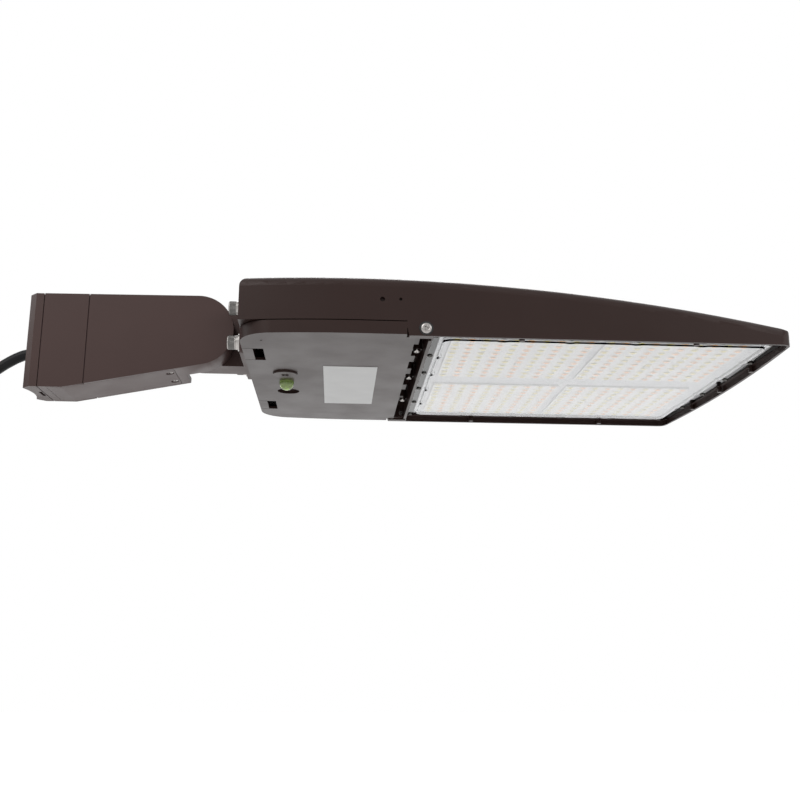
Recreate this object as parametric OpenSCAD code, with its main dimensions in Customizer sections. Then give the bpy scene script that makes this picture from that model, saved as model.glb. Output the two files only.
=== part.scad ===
// Shoebox area light on a tilting pole arm.
// Millimetres, +Z up. The origin is where the pole touches the plate's saddle, midway between the
// two pole bolts, and +X points to the tip.

/* [Head] */
// Distance from the pole to the rear face of the head
arm_reach = 203; // [196:1:226]
// How far the head's bottom rim lies below the origin
rim_drop = 28; // [26:0.5:30]
// Length of the head from its rear face to the tip
head_l = 463; // [455:1:500]
// Width of the head over its straight sides
head_w = 331; // [326:1:350]
// How much narrower the head is near its rear face
rear_narrowing = 11; // [7:0.5:15]
// Height of the head over its flat rear half
head_h = 49.4; // [46:0.1:54]
// Height left at the tip, under the arched top
tip_h = 12.6; // [11:0.1:14]
// Length of the flat rear part of the top
flat_l = 100; // [96:1:104]
// Radius of the rear corners seen from above
rear_corner_r = 30; // [26:1:34]
// Radius of the tip corners seen from above
tip_corner_r = 8; // [6:0.5:10]
// Radius of the bowed tip edge
tip_bow_r = 1842; // [1500:10:2200]
// Radius of the rounded edge round the top
shoulder_r = 9; // [5:0.5:10]
// Thickness of the top over the driver bay
roof_t = 4; // [3:0.5:5]

/* [Driver bay and door] */
// Height of the visible seam over the rim
seam_z = 10.8; // [10:0.1:12]
// Width of the seam between the door and the housing
seam_gap = 0.8; // [0.5:0.1:1]
// Distance from the end of the door's side walls to the hinge axis
door_side_in = 15.4; // [14.5:0.1:17.5]
// Distance from the end of the door's floor to the hinge axis
door_floor_in = 7.9; // [6.5:0.1:9.5]
// Thickness of the door's floor
door_t = 2.6; // [2:0.1:3]
// Thickness of the door's side walls
door_wall_t = 3; // [2.5:0.1:3.5]
// Width of the solid ledge that carries the gasket
ledge_w = 5.5; // [5:0.5:7]
// Side of the gasket's section
gasket_w = 4; // [3:0.5:4.5]
// Width of the bay's rim that the gasket presses on
bay_rim_w = 9; // [9:0.5:12]
// Distance from the hinge axis to the lens
hinge_in = 6.5; // [6:0.1:8]
// Hinge axis, over the rim
hinge_z = 5.4; // [5:0.1:6]
// Radius of the hinge screws' shoulders
hinge_r = 2.5; // [2:0.1:3]
// Outer radius of the hinge ears
ear_r = 4.4; // [4:0.1:4.8]
// Thickness of each hinge ear
ear_t = 5; // [4:0.5:6]
// Radial running clearance of a shaft in its bore
run_fit = 0.05; // [0.03:0.01:0.08]
// Diameter of the captive screw's head
latch_d = 22.5; // [20:0.5:24]
// How far that head stands out of the door
latch_rise = 1.75; // [1.2:0.05:2.5]
// Captive screw axis, from the rear face
latch_x = 33; // [32:0.5:36]
// Captive screw axis, sideways
latch_y = -33; // [-36:0.5:-30]
// Diameter of the bubble level's dome
level_d = 14; // [12:0.5:15]
// How far the dome stands out of the door
level_rise = 8.5; // [7.5:0.1:10]
// Sideways place of the bubble level
level_y = -1; // [-3:0.5:3]
// Diameter of the finger recess
recess_d = 21.5; // [20:0.5:23]
// Depth of the finger recess
recess_depth = 3; // [2:0.1:4]
// Sideways place of the finger recess
recess_y = 37; // [35:0.5:40]
// Length of the label across the head
label_l = 147; // [140:1:150]
// Width of the label along the head
label_w = 49; // [45:1:52]

/* [Light engine] */
// Start of the lens recess, from the rear face
lens_x = 158.9; // [158.5:0.1:160]
// Width of the rim between the lens and the tip
tip_rim = 8.1; // [6.5:0.1:12]
// Width of the rim beside the lens
side_rim = 12.5; // [11.5:0.1:14.5]
// Thickness of the thin skirt round the light engine
skirt_t = 2.4; // [2:0.1:3]
// Depth of the ledge behind that skirt
skirt_depth = 4; // [3.6:0.1:4.4]
// Thickness of the lens
lens_t = 2; // [1.6:0.1:2.2]
// How far the middle of the lens stands out of its edge
lens_rise = 2; // [1:0.1:2.4]
// Distance of that step from the lens's edge
lens_step_in = 10; // [9:0.5:11]
// Depth from the rim to the heat sink plate
engine_depth = 9.2; // [8.9:0.1:9.8]
// Thickness of the heat sink plate
sink_t = 4; // [3:0.5:5]
// Distance between the cooling fins
fin_pitch = 16; // [13:0.5:20]
// Thickness of one cooling fin
fin_t = 3.2; // [2.5:0.1:4]
// Distance of the LED boards from the lens's rear edge
board_in_rear = 17.6; // [16:0.1:18.5]
// Distance of the LED boards from the lens's edge at the tip
board_in_tip = 22.4; // [21:0.1:23.5]
// Distance of the LED boards from the lens's side edges
board_in_side = 14; // [13.5:0.1:15]
// Gap between the LED boards along the head
board_gap_x = 8; // [7:0.1:9]
// Gap between the LED boards across the middle
board_gap_y = 30; // [29:0.5:31]
// Distance between LEDs on a board
led_pitch = 12.7; // [12:0.1:12.9]
// Side of one LED
led_w = 5; // [4:0.1:5.6]
// Distance between the lens screws along the sides
lens_screw_pitch = 56.4; // [54:0.2:57]

/* [Arm] */
// Width of the arm
arm_w = 60; // [58:1:62]
// Wall of the arm's castings
arm_wall = 3.5; // [3:0.1:4]
// Thickness of the pole plate
plate_t = 14; // [13:0.5:16]
// Height of the pole plate
plate_h = 89.5; // [88:0.5:92]
// Radius of the pole saddle
saddle_r = 60; // [58:1:80]
// Depth of the pole saddle
saddle_depth = 4; // [3:0.1:4.5]
// Chamfer of the pole plate's rear edges
plate_chamfer = 7; // [5:0.5:7]
// Distance between the pole bolt holes
pole_bolt_pitch = 64; // [62:0.5:66]
// Radius of the pole bolt holes
pole_bolt_r = 5.5; // [5:0.1:6]
// End of the arm's base casting
base_end = 51.2; // [50:0.1:53]
// Distance from the knuckle axis to the rear face of the head
knuckle_back = 50; // [49:0.5:51]
// Knuckle axis, over the origin
knuckle_z = 13; // [12.5:0.5:13.5]
// Radius of the knuckle
knuckle_r = 33.5; // [33:0.1:34]
// Radius of the neck's rounded end
neck_r = 26.5; // [25:0.1:27]
// Gap between the knuckle's two halves
knuckle_gap = 0.8; // [0.6:0.1:1]
// Radius of the tilt bolt
tilt_bolt_r = 6; // [5:0.1:6]
// Start of the wiring cover
cover_x0 = 18.5; // [18:0.5:20]
// Distance from the end of the wiring cover to the knuckle axis
cover_back = 20.5; // [19:0.5:23]
// Distance of the cover's screws from its end
cover_screw_in = 5; // [4.5:0.5:8]
// Distance of the cover's screws from the middle
cover_screw_y = 15; // [12:0.5:16]
// Thickness of the wiring cover
cover_t = 2.6; // [2.2:0.1:3]

/* [Flange] */
// Width of the flange
flange_w = 110; // [108:1:112]
// Height of the flange
flange_h = 54; // [53:0.5:55]
// Thickness of the flange
flange_t = 6.8; // [6:0.1:7.5]
// Thickness of the flange gasket
flange_gasket_t = 1.6; // [1.2:0.1:2]
// Distance between the flange bolts across the head
bolt_pitch_y = 92; // [90:1:93]
// Distance between the flange bolts up the head
bolt_pitch_z = 33; // [32:0.5:34]

/* [Cord] */
// Diameter of the supply cord
cord_d = 10; // [10]

/* [Hidden] */

bronze = [0.20, 0.15, 0.14];
arm_bronze = [0.31, 0.26, 0.25];
steel = [0.75, 0.75, 0.76];
dark_steel = [0.35, 0.35, 0.36];
white = [0.90, 0.90, 0.88];
black = [0.08, 0.08, 0.08];

big = 1000;
fine = 1440;
half_w = head_w / 2;

// Plan: each side is straight in front and bows in over the flat rear part.
narrow_x = 20;
side_r = pow(flat_l - narrow_x, 2) / rear_narrowing;
rear_corner_y = half_w - side_r
    + sqrt(pow(side_r - rear_corner_r, 2) - pow(flat_l - rear_corner_r, 2));
// Hairline that makes the rear corners' round faces cross the sides instead of touching them
corner_over = 0.05;
tip_corner_x = head_l - tip_bow_r
    + sqrt(pow(tip_bow_r - tip_corner_r, 2) - pow(half_w - tip_corner_r, 2));
tip_corner_a = asin((half_w - tip_corner_r) / (tip_bow_r - tip_corner_r));

// Side view: the top is an arc that starts level at the end of the flat part.
arch_run = head_l - flat_l;
arch_r = (arch_run * arch_run + pow(head_h - tip_h, 2)) / (2 * (head_h - tip_h));
arch_sweep = asin(arch_run / arch_r) + 1;
tip_edge_r = 8;
tip_edge_z = head_h - arch_r
    + sqrt(pow(arch_r - tip_edge_r, 2) - pow(arch_run - tip_edge_r, 2));
tip_edge_a = asin((arch_run - tip_edge_r) / (arch_r - tip_edge_r));

// Lens, hinge and door, each placed from its neighbour
lens_l = head_l - lens_x - tip_rim;
lens_w = head_w - 2 * side_rim;
hinge_x = lens_x - hinge_in;
door_side_l = hinge_x - door_side_in;
door_floor_l = hinge_x - door_floor_in;

// Bay
bay_floor_z = seam_z + seam_gap;
bay_ceiling_z = head_h - roof_t;
bay_end_x = door_side_l - 11;
bay_half_w = rear_corner_y + rear_corner_r - bay_rim_w - 1.5;
channel_wall = 8;
gap_start_x = bay_end_x + channel_wall;
gap_end_x = lens_x - 3.4;
lens_clear = 0.5;
gasket_top = bay_floor_z - 0.3;
gasket_h = 4.4;
ledge_z = gasket_top - gasket_h;
gasket_inset = door_wall_t + 0.9;
ledge_end_x = gap_start_x - 0.6;
ear_clear = 0.4;
ear_out_y = half_w - 8.5;
bridge_ys = [-120, -64, -20, 42, 91];
bridge_w = 20;
bridge_z = 8;
bridge_end_x = gap_end_x - 5;
bridge_back_z = 20;
post_ys = [-94, 0, 94];
post_x = gap_end_x - 5;
post_r = 4.5;
post_z = 8;
hinge_head_r = 4.6;
hinge_head_h = 1.8;
wall_holes = [[116.8, 29.3, 2], [131.6, 29.6, 1.3]]; // place along the head, height, radius
rib_xs = [60, 95];
rib_t = 2;
door_drain = [18, -138.5];

// Latch and level
latch_shaft_r = 4;
latch_top_z = 14;
latch_clip_r = 7;
latch_clip_t = 1.2;
latch_post_r = 8;
level_r = level_d / 2;
level_flange_r = level_r + 2.5;
level_flange_t = 1.5;
clip_t = 1.2;
window_l = 36;
window_ys = [-95.3, 99.7];
window_tab = 9;
window_x = 18;
label_t = 0.3;
label_x = 68.4;
label_y = 11.2;

// Mount boss on the rear of the head
boss_w = flange_w + 4;
boss_top = rim_drop + knuckle_z + flange_h / 2 + 1;
boss_flat = 36;
boss_run = 130 - boss_flat;
boss_rise = boss_top - head_h;
boss_sweep_r = (boss_run * boss_run + boss_rise * boss_rise) / (2 * boss_rise);
boss_edge_r = 10;
flange_bolt_r = 4;
flange_hole_r = 4.5;
bolt_head_r = 6.5;
bolt_head_h = 8;
spring_washer_t = 2;
flat_washer_t = 1.6;
flat_washer_r = 8;
bolt_depth = 20;
bolt_boss_r = 9;
mount_z = rim_drop + knuckle_z;
wire_y = 15;
wire_hole_r = 10;
bushing_flange_r = 12.5;
bushing_flange_t = 2;
sleeve_r = 2.5;
fit = 0.05;

// Light engine
lens_z = skirt_depth + 0.2;
lens_step_r = 8;
scallop_r = 8.2;
board_x0 = lens_x + board_in_rear;
board_l = (lens_l - board_in_rear - board_in_tip - board_gap_x) / 2;
board_w = lens_w / 2 - board_in_side - board_gap_y / 2;
board_t = 1.6;
sheet_t = 0.8;
led_t = 0.6;
board_z = engine_depth - sheet_t - board_t;
led_nx = 1 + floor((board_l - 2 - led_w) / led_pitch);
led_ny = 1 + floor((board_w - 2 - led_w) / led_pitch);
board_screw_r = 3.2;
lens_screw_r = 2.4;
lens_screw_in = 3.4;
lens_screw_x0 = lens_x + 3.6;
lens_screw_n = floor((lens_l - 2 * lens_screw_in) / lens_screw_pitch);
gasket_ring_w = 7;
skirt_boss_r = 2.4;
tip_boss_ys = [-77, 0, 77];
side_boss_xs = [73, 219]; // from the lens's rear edge
fin_z = engine_depth + sink_t;
fin_x0 = lens_x + 6;
fin_x1 = head_l - 28;
fin_half_span = half_w - 18;
fin_slots = floor(2 * fin_half_span / fin_pitch);

// Driver bay contents
driver_size = [58, 206, 25];
driver_x = bay_end_x - driver_size[0] - 14;
driver_foot = 14;
driver_foot_t = 2;
spd_size = [38, 54, 24];
spd_pos = [14, 66];
terminal_size = [24, 60, 16];
terminal_pos = [12, -126];
lead_r = 1.6;
groove_depth = 0.8;
terminal_n = 5;
terminal_step = 12;

// Arm
half_arm = arm_w / 2;
seam = 0.8;
plate_x0 = -saddle_depth;
plate_front = plate_x0 + plate_t;
base_start = plate_front + seam;
seam_step = 1.2;
base_wall = 4;
base_front = plate_front + base_wall;
body_start = base_end + seam;
arm_top0 = plate_h / 2;
arm_bottom = -plate_h / 2;
slope_x = 32;
knuckle_x = arm_reach - knuckle_back;
cover_x1 = knuckle_x - cover_back;
cover_screw_x = cover_x1 - cover_screw_in;
far_end_x = knuckle_x - neck_r - 1.5;
lip_x = knuckle_x - 12;
lip_top = knuckle_z - neck_r - 5;
inner_wall = 5;
gap_half = knuckle_gap / 2;
boss_r = 11;
flange_x1 = arm_reach - flange_gasket_t;
flange_x0 = flange_x1 - flange_t;
neck_wall = 4;
tilt_head_r = 10;
tilt_head_h = 7.5;
tilt_washer_r = 12;
tilt_washer_t = 2;
tilt_thread_l = 18;
cover_gap = 0.3;
cover_screw_r = 3.5;
cover_screw_l = 11;
cover_boss_h = 4;
cover_opening_h = 28;
window_dx = 18;
window_r = 4;
arm_screw_y = 19;
arm_screw_z = 37.5;
arm_screw_r = 3;
arm_screw_head_r = 4;
arm_screw_boss_l = 5;
grommet_z = -7;
grommet_r = 9;
cord_x0 = -1;
knuckle_c = [knuckle_x, knuckle_z];

// Cord: the free lead's route, chosen by hand, then a round coil below the plate
cord_r = cord_d / 2;
cord_route = [[-1, 0, -7], [-10, 0, -7], [-17, 0, -9.5], [-25, 0, -14], [-34, -0.5, -20.5], [-42, -3, -29],
              [-49, -7.5, -39], [-55, -14, -51], [-60, -22, -63], [-63.5, -31, -76], [-65.8, -40, -89],
              [-66.8, -48, -101], [-67, -53, -112], [-67, -55, -120], [-67, -55, -125]];
coil_r = 55;
coil_turns = 2;
coil_pitch = cord_d + 0.8;
coil_x = -67;
coil_z = -135;
coil_rings = 24;
coil_sides = 6;
lead_sides = 12;
conductor_r = 1.5;
conductor_l = 40;
conductor_ring = 2.2;
tie_w = 5;
tie_t = 1.2;
tie_gap = 0.3;
tie_head = 4;

// ---------------------------------------------------------------- helpers

// Extrudes an X-Z outline across the arm, from y0 to y1
module across(y0, y1) {
    translate([0, y1, 0]) rotate([90, 0, 0]) linear_extrude(y1 - y0) children();
}

// Extrudes a Y-Z outline along X, from x0 to x1
module lengthwise(x0, x1) {
    translate([x0, 0, 0]) rotate([90, 0, 90]) linear_extrude(x1 - x0) children();
}

module rod_x(r, l) {
    rotate([0, 90, 0]) cylinder(r = r, h = l, $fn = 48);
}

module rod_y(r, l) {
    rotate([-90, 0, 0]) cylinder(r = r, h = l, $fn = 48);
}

module rod_z(r, l) {
    cylinder(r = r, h = l, $fn = 48);
}

// Box between two corners
module box(a, b) {
    translate(a) cube(b - a);
}

module both_sides() {
    children();
    mirror([0, 1, 0]) children();
}

// Rectangle with round corners, between two corners
module round_rect(x0, y0, x1, y1, r) {
    translate([x0 + r, y0]) square([x1 - x0 - 2 * r, y1 - y0]);
    translate([x0, y0 + r]) square([x1 - x0, y1 - y0 - 2 * r]);
    for (x = [x0 + r, x1 - r], y = [y0 + r, y1 - r])
        translate([x, y]) circle(r, $fn = 64);
}

// Tangent point on a circle from an outside point; side is 1 for the upper one, -1 for the lower
function tangent_point(p, c, r, side) =
    let (d = norm(c - p), a = atan2(c[1] - p[1], c[0] - p[0]), b = asin(r / d), l = sqrt(d * d - r * r))
    p + l * [cos(a + side * b), sin(a + side * b)];

// Moves a piece of the head, drawn from the rear face and the rim, to its place
module in_head() {
    translate([arm_reach, 0, -rim_drop]) children();
}

// ---------------------------------------------------------------- head outline

// Outline of the head's bowed rear part from above, up to x1 and drawn in by inset
module rear_plan(x1, inset = 0) {
    difference() {
        union() {
            intersection() {
                translate([inset, -half_w]) square([flat_l - inset, head_w]);
                translate([flat_l, half_w - side_r]) circle(side_r - inset, $fn = fine);
                translate([flat_l, side_r - half_w]) circle(side_r - inset, $fn = fine);
            }
            translate([flat_l, inset - half_w]) square([x1 - flat_l, head_w - 2 * inset]);
        }
        both_sides() rear_corner_region(inset);
    }
}

// Outline of the straight front part with its bowed tip, from x0 and drawn in by inset
module front_plan(x0 = flat_l, inset = 0) {
    difference() {
        intersection() {
            translate([x0, inset - half_w]) square([head_l, head_w - 2 * inset]);
            translate([head_l - tip_bow_r, 0]) circle(tip_bow_r - inset, $fn = fine);
        }
        both_sides() tip_corner_region(inset);
    }
}

// Region outside the rear corner's centre, up to the radial line where the bowed side takes over
module rear_corner_box() {
    a = asin((flat_l - rear_corner_r) / (side_r - rear_corner_r));
    reach = 2 * rear_corner_r;
    translate([rear_corner_r, rear_corner_y])
        polygon([[0, 0], [-reach * sin(a), reach * cos(a)], [-reach, reach * cos(a)], [-reach, 0]]);
}

module rear_corner_region(inset) {
    difference() {
        rear_corner_box();
        translate([rear_corner_r, rear_corner_y]) circle(rear_corner_r - inset, $fn = 128);
    }
}

module tip_corner_region(inset) {
    reach = 3 * tip_corner_r;
    translate([tip_corner_x, half_w - tip_corner_r]) difference() {
        polygon([[0, 0], reach * [cos(tip_corner_a), sin(tip_corner_a)], [reach, reach], [0, reach]]);
        circle(tip_corner_r - inset, $fn = 64);
    }
}

// Disc from just under the rim up to the roof, with its top edge rounded
module rounded_disc(r) {
    rotate_extrude($fn = fine) {
        translate([0, -1]) square([r - shoulder_r, head_h + 1]);
        translate([0, -1]) square([r, head_h - shoulder_r + 1]);
        translate([r - shoulder_r, head_h - shoulder_r]) circle(shoulder_r, $fn = 64);
    }
}

// Flat rear part of the head's outer form
module rear_form() {
    difference() {
        intersection() {
            across(-half_w, half_w) union() {
                translate([shoulder_r, -1]) square([flat_l - shoulder_r, head_h + 1]);
                translate([0, -1]) square([flat_l, head_h - shoulder_r + 1]);
                translate([shoulder_r, head_h - shoulder_r]) circle(shoulder_r, $fn = 64);
            }
            translate([flat_l, half_w - side_r, 0]) rounded_disc(side_r);
            translate([flat_l, side_r - half_w, 0]) rounded_disc(side_r);
        }
        both_sides() difference() {
            translate([0, 0, -2]) linear_extrude(head_h + 4) rear_corner_box();
            translate([rear_corner_r, rear_corner_y, 0]) rounded_disc(rear_corner_r + corner_over);
        }
    }
}

// Arched front part, turned about the arch's axis, with the same rounded edges
module front_form() {
    rim_depth = head_h + 8;
    difference() {
        intersection() {
            translate([flat_l, 0, head_h - arch_r]) rotate([90, 0, 0]) rotate([0, 0, 90 - arch_sweep])
                rotate_extrude(angle = arch_sweep, $fn = fine) {
                    translate([arch_r - rim_depth, -half_w]) square([rim_depth - shoulder_r, head_w]);
                    translate([arch_r - rim_depth, shoulder_r - half_w])
                        square([rim_depth, head_w - 2 * shoulder_r]);
                    for (s = [-1, 1])
                        translate([arch_r - shoulder_r, s * (half_w - shoulder_r)])
                            circle(shoulder_r, $fn = 64);
                }
            translate([0, 0, -1]) linear_extrude(head_h + 10) front_plan();
            box([flat_l, -big, -1], [big, big, big]);
        }
        tip_edge_cut();
    }
}

// Takes the sharp top edge off the bowed tip
module tip_edge_cut() {
    half_a = asin(half_w / tip_bow_r) + 1;
    start = tip_bow_r - tip_edge_r + tip_edge_r * sin(tip_edge_a);
    translate([head_l - tip_bow_r, 0, 0]) rotate([0, 0, -half_a])
        rotate_extrude(angle = 2 * half_a, $fn = fine) difference() {
            translate([start, tip_edge_z]) square([2 * tip_edge_r, 3 * tip_edge_r]);
            translate([tip_bow_r - tip_edge_r, tip_edge_z]) circle(tip_edge_r, $fn = 64);
        }
}

// Raised boss that the arm's flange bolts to
module boss_form() {
    intersection() {
        across(-boss_w / 2, boss_w / 2) difference() {
            translate([0, 10]) square([boss_flat + boss_run - 0.5, boss_top - 10]);
            translate([boss_flat + boss_run, head_h + boss_sweep_r]) circle(boss_sweep_r, $fn = fine);
        }
        lengthwise(-1, boss_flat + boss_run)
            round_rect(-boss_w / 2, -30, boss_w / 2, boss_top, boss_edge_r);
    }
}

// ---------------------------------------------------------------- head pieces

module flange_bolt_places() {
    for (y = [-1, 1], z = [-1, 1])
        translate([0, y * bolt_pitch_y / 2, z * bolt_pitch_z / 2]) children();
}

module housing() {
    color(bronze) in_head() difference() {
        union() {
            difference() {
                union() {
                    rear_form();
                    front_form();
                    boss_form();
                }
                bay_space();
                air_gap_space();
                fin_slots_space();
            }
            bay_bosses();
            air_gap_bridges();
        }
        door_space();
        skirt_space();
        engine_space();
        housing_holes();
    }
}

// Driver bay, open below, and the hollow under the mount boss
module bay_space() {
    translate([0, 0, -5]) linear_extrude(bay_ceiling_z + 5)
        round_rect(bay_rim_w, -bay_half_w, bay_end_x, bay_half_w, rear_corner_r - bay_rim_w);
    box([bolt_depth + 10, -bolt_pitch_y / 2 + bolt_boss_r + 1, bay_ceiling_z - 1],
        [boss_flat + 12, bolt_pitch_y / 2 - bolt_boss_r - 1, boss_top - 7]);
}

// Open channel through the head between the bay and the light engine
module air_gap_space() {
    box([gap_start_x, -ear_out_y - gap_half, -5], [gap_end_x, ear_out_y + gap_half, big]);
}

module fin_slots_space() {
    slot_w = fin_pitch - fin_t;
    for (i = [0 : fin_slots - 1]) {
        y = (i - (fin_slots - 1) / 2) * fin_pitch;
        box([fin_x0, y - slot_w / 2, fin_z], [fin_x1, y + slot_w / 2, big]);
    }
}

module bay_bosses() {
    translate([0, 0, mount_z]) flange_bolt_places()
        intersection() {
            translate([1, 0, 0]) rod_x(bolt_boss_r, bolt_depth + 6);
            box([0, -20, -bolt_boss_r], [big, 20, bay_ceiling_z + 30]);
        }
    translate([latch_x, latch_y, latch_top_z + 0.4]) rod_z(latch_post_r, bay_ceiling_z - latch_top_z);
}

// Ribs and screw posts that tie the bay to the light engine across the channel
module air_gap_bridges() {
    top = head_h - 8;
    for (y = bridge_ys) {
        box([gap_start_x - 1, y - bridge_w / 2, bridge_z], [bridge_end_x, y + bridge_w / 2, top]);
        box([gap_start_x - 1, y - bridge_w / 2, bridge_back_z], [gap_end_x + 1, y + bridge_w / 2, top]);
    }
    for (y = post_ys) {
        translate([post_x, y, post_z]) rod_z(post_r, top - post_z);
        box([post_x, y - 3, bridge_back_z], [gap_end_x + 1, y + 3, top]);
    }
}

// Everything that the door fills or sweeps through
module door_space() {
    side_y = ear_out_y + gap_half;
    difference() {
        box([-1, -big, -5], [hinge_x, big, bay_floor_z]);
        // side walls beside the ears, rounded off next to the door's own side walls
        both_sides() difference() {
            box([door_side_l, side_y, -5], [big, big, big]);
            difference() {
                box([-1, -big, -6], [hinge_x, big, hinge_z]);
                translate([hinge_x, -big / 2, hinge_z]) rod_y(hinge_x - door_side_l - 0.5, big);
            }
        }
        // the ribs and posts across the channel keep their height
        box([gap_start_x, -ear_out_y + ear_t + 1, bridge_z - 0.1], [big, ear_out_y - ear_t - 1, big]);
    }
    both_sides() translate([hinge_x, ear_out_y - ear_t - ear_clear, hinge_z])
        rod_y(ear_r + ear_clear, ear_t + 2 * ear_clear);
    // room beside the axis for the ear of the open door
    both_sides() box([hinge_x, ear_out_y - ear_t - ear_clear, -5],
                     [hinge_x + ear_r + 2 * ear_clear, ear_out_y + ear_clear, hinge_z]);
}

// Room inside the thin skirt, with small round bosses left standing on the ledge
module skirt_space() {
    translate([0, 0, -4]) linear_extrude(4 + skirt_depth) difference() {
        front_plan(lens_x, skirt_t);
        for (y = tip_boss_ys)
            translate([lens_x + lens_l + lens_clear + skirt_boss_r - 0.4, y]) circle(skirt_boss_r, $fn = 48);
        both_sides() for (x = side_boss_xs)
            translate([lens_x + x, lens_w / 2 + 4]) circle(skirt_boss_r, $fn = 48);
    }
}

module engine_space() {
    box([lens_x - lens_clear, -lens_w / 2 - lens_clear, -5],
        [lens_x + lens_l + lens_clear, lens_w / 2 + lens_clear, engine_depth]);
}

module housing_holes() {
    // hinge screws
    both_sides() translate([hinge_x, ear_out_y - 1, hinge_z]) rod_y(hinge_r, 20);
    // flange bolts
    translate([-1, 0, mount_z]) flange_bolt_places() rod_x(flange_bolt_r + run_fit, bolt_depth + 1);
    // wire entry
    translate([-1, wire_y, mount_z]) rod_x(wire_hole_r, bay_rim_w + 3);
    translate([bay_rim_w, wire_y, mount_z]) rod_x(bushing_flange_r + 0.1, bushing_flange_t + 1);
    // two small holes in each side wall
    for (hole = wall_holes)
        both_sides() translate([hole[0], half_w - 3, hole[1]]) rod_y(hole[2], 8);
}

module hinge_screws() {
    shaft_y = ear_out_y - ear_t - 0.5;
    color(steel) in_head() both_sides() translate([hinge_x, 0, hinge_z]) {
        translate([0, shaft_y, 0]) rod_y(hinge_r - run_fit, half_w - shaft_y);
        difference() {
            translate([0, half_w, 0]) rod_y(hinge_head_r, hinge_head_h);
            translate([0, half_w + hinge_head_h / 2, 0]) rod_y(1.5, 2);
        }
    }
}

module driver() {
    z1 = bay_ceiling_z;
    size = driver_size;
    color(steel) in_head() {
        difference() {
            box([driver_x, -size[1] / 2 + driver_foot, z1 - size[2]],
                [driver_x + size[0], size[1] / 2 - driver_foot, z1]);
            // three shallow grooves along its face
            for (x = [16, 29, 42])
                box([driver_x + x - 3, -size[1] / 2 + driver_foot + 8, z1 - size[2] - 1],
                    [driver_x + x + 3, size[1] / 2 - driver_foot - 8, z1 - size[2] + groove_depth]);
        }
        both_sides() difference() {
            box([driver_x + 8, size[1] / 2 - driver_foot - 1, z1 - driver_foot_t],
                [driver_x + size[0] - 8, size[1] / 2, z1]);
            driver_screw_places() translate([0, 0, z1 - 5]) rod_z(2.3, 10);
        }
    }
}

module driver_screw_places() {
    for (x = [driver_x + 14, driver_x + driver_size[0] - 14])
        translate([x, driver_size[1] / 2 - driver_foot / 2 + 1, 0]) children();
}

module driver_screws() {
    color(dark_steel) in_head() both_sides() driver_screw_places()
        translate([0, 0, bay_ceiling_z - driver_foot_t]) {
            rod_z(1.9, driver_foot_t);
            translate([0, 0, -2]) rod_z(3.8, 2);
        }
}

module surge_protector() {
    color([0.75, 0.15, 0.12]) in_head() difference() {
        translate([0, 0, bay_ceiling_z - spd_size[2]]) linear_extrude(spd_size[2])
            round_rect(spd_pos[0], spd_pos[1], spd_pos[0] + spd_size[0], spd_pos[1] + spd_size[1], 4);
        // shallow panel on its face
        translate([spd_pos[0] + 8, spd_pos[1] + 8, bay_ceiling_z - spd_size[2] - 1])
            cube([spd_size[0] - 16, spd_size[1] - 16, 1 + groove_depth]);
    }
}

module terminal_block() {
    z0 = bay_ceiling_z - terminal_size[2];
    color([0.85, 0.83, 0.78]) in_head() difference() {
        box([terminal_pos[0], terminal_pos[1], z0],
            [terminal_pos[0] + terminal_size[0], terminal_pos[1] + terminal_size[1], bay_ceiling_z]);
        // two rows of screw wells
        for (i = [0 : terminal_n - 1], x = [7, 17])
            translate([terminal_pos[0] + x, terminal_pos[1] + (i + 0.5) * terminal_step, z0 - 1])
                rod_z(2.6, 7);
        // slits between the ways
        for (i = [1 : terminal_n - 1]) {
            y = terminal_pos[1] + i * terminal_step - 0.5;
            box([terminal_pos[0] - 1, y, z0 - 1], [terminal_pos[0] + terminal_size[0] + 1, y + 1, z0 + 4]);
        }
    }
}

module driver_leads() {
    x1 = terminal_pos[0] + terminal_size[0];
    y1 = -driver_size[1] / 2 + driver_foot;
    color([0.15, 0.15, 0.15]) in_head() for (i = [0 : 2]) {
        y0 = terminal_pos[1] + (i + 1.5) * terminal_step;
        y2 = y1 + 22 + i * terminal_step;
        z = bay_ceiling_z - 5 - 4 * i;
        tube([[x1, y0, z], [x1 + 4, y0, z], [x1 + 8, y0 + 4, z], [x1 + 9, y2 - 5, z],
              [driver_x - 4, y2, z], [driver_x, y2, z]], lead_r, 8);
    }
}

module reflector_sheet() {
    color(white) in_head() difference() {
        box([lens_x, -lens_w / 2, engine_depth - sheet_t], [lens_x + lens_l, lens_w / 2, engine_depth]);
        board_screw_places() translate([0, 0, engine_depth - 5]) rod_z(2.2, 10);
    }
}

function board_centre(i, j) = [board_x0 + board_l / 2 + i * (board_l + board_gap_x),
                               (j - 0.5) * (board_w + board_gap_y), 0];

// Each board's screw sits between its chips, a little toward the middle of the lens
function board_screw(i, j) = board_centre(i, j) + led_pitch * [0.5 - i, 1 - 2 * j, 0];

module board_screw_places() {
    for (i = [0, 1], j = [0, 1])
        translate(board_screw(i, j)) children();
}

// One LED board with its grid of chips and a clear hole for its screw
module led_board(i, j) {
    c = board_centre(i, j);
    half = [board_l / 2, board_w / 2, 0];
    color(white) in_head() difference() {
        union() {
            box(c - half + [0, 0, board_z], c + half + [0, 0, board_z + board_t]);
            for (u = [0 : led_nx - 1], v = [0 : led_ny - 1])
                translate([c[0] + (u - (led_nx - 1) / 2) * led_pitch - led_w / 2,
                           c[1] + (v - (led_ny - 1) / 2) * led_pitch - led_w / 2, board_z - led_t])
                    cube([led_w, led_w, led_t + 0.1]);
        }
        translate(board_screw(i, j) + [0, 0, board_z - 1]) rod_z(2.2, 10);
    }
}

module led_board_1() { led_board(0, 0); }
module led_board_2() { led_board(0, 1); }
module led_board_3() { led_board(1, 0); }
module led_board_4() { led_board(1, 1); }

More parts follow.
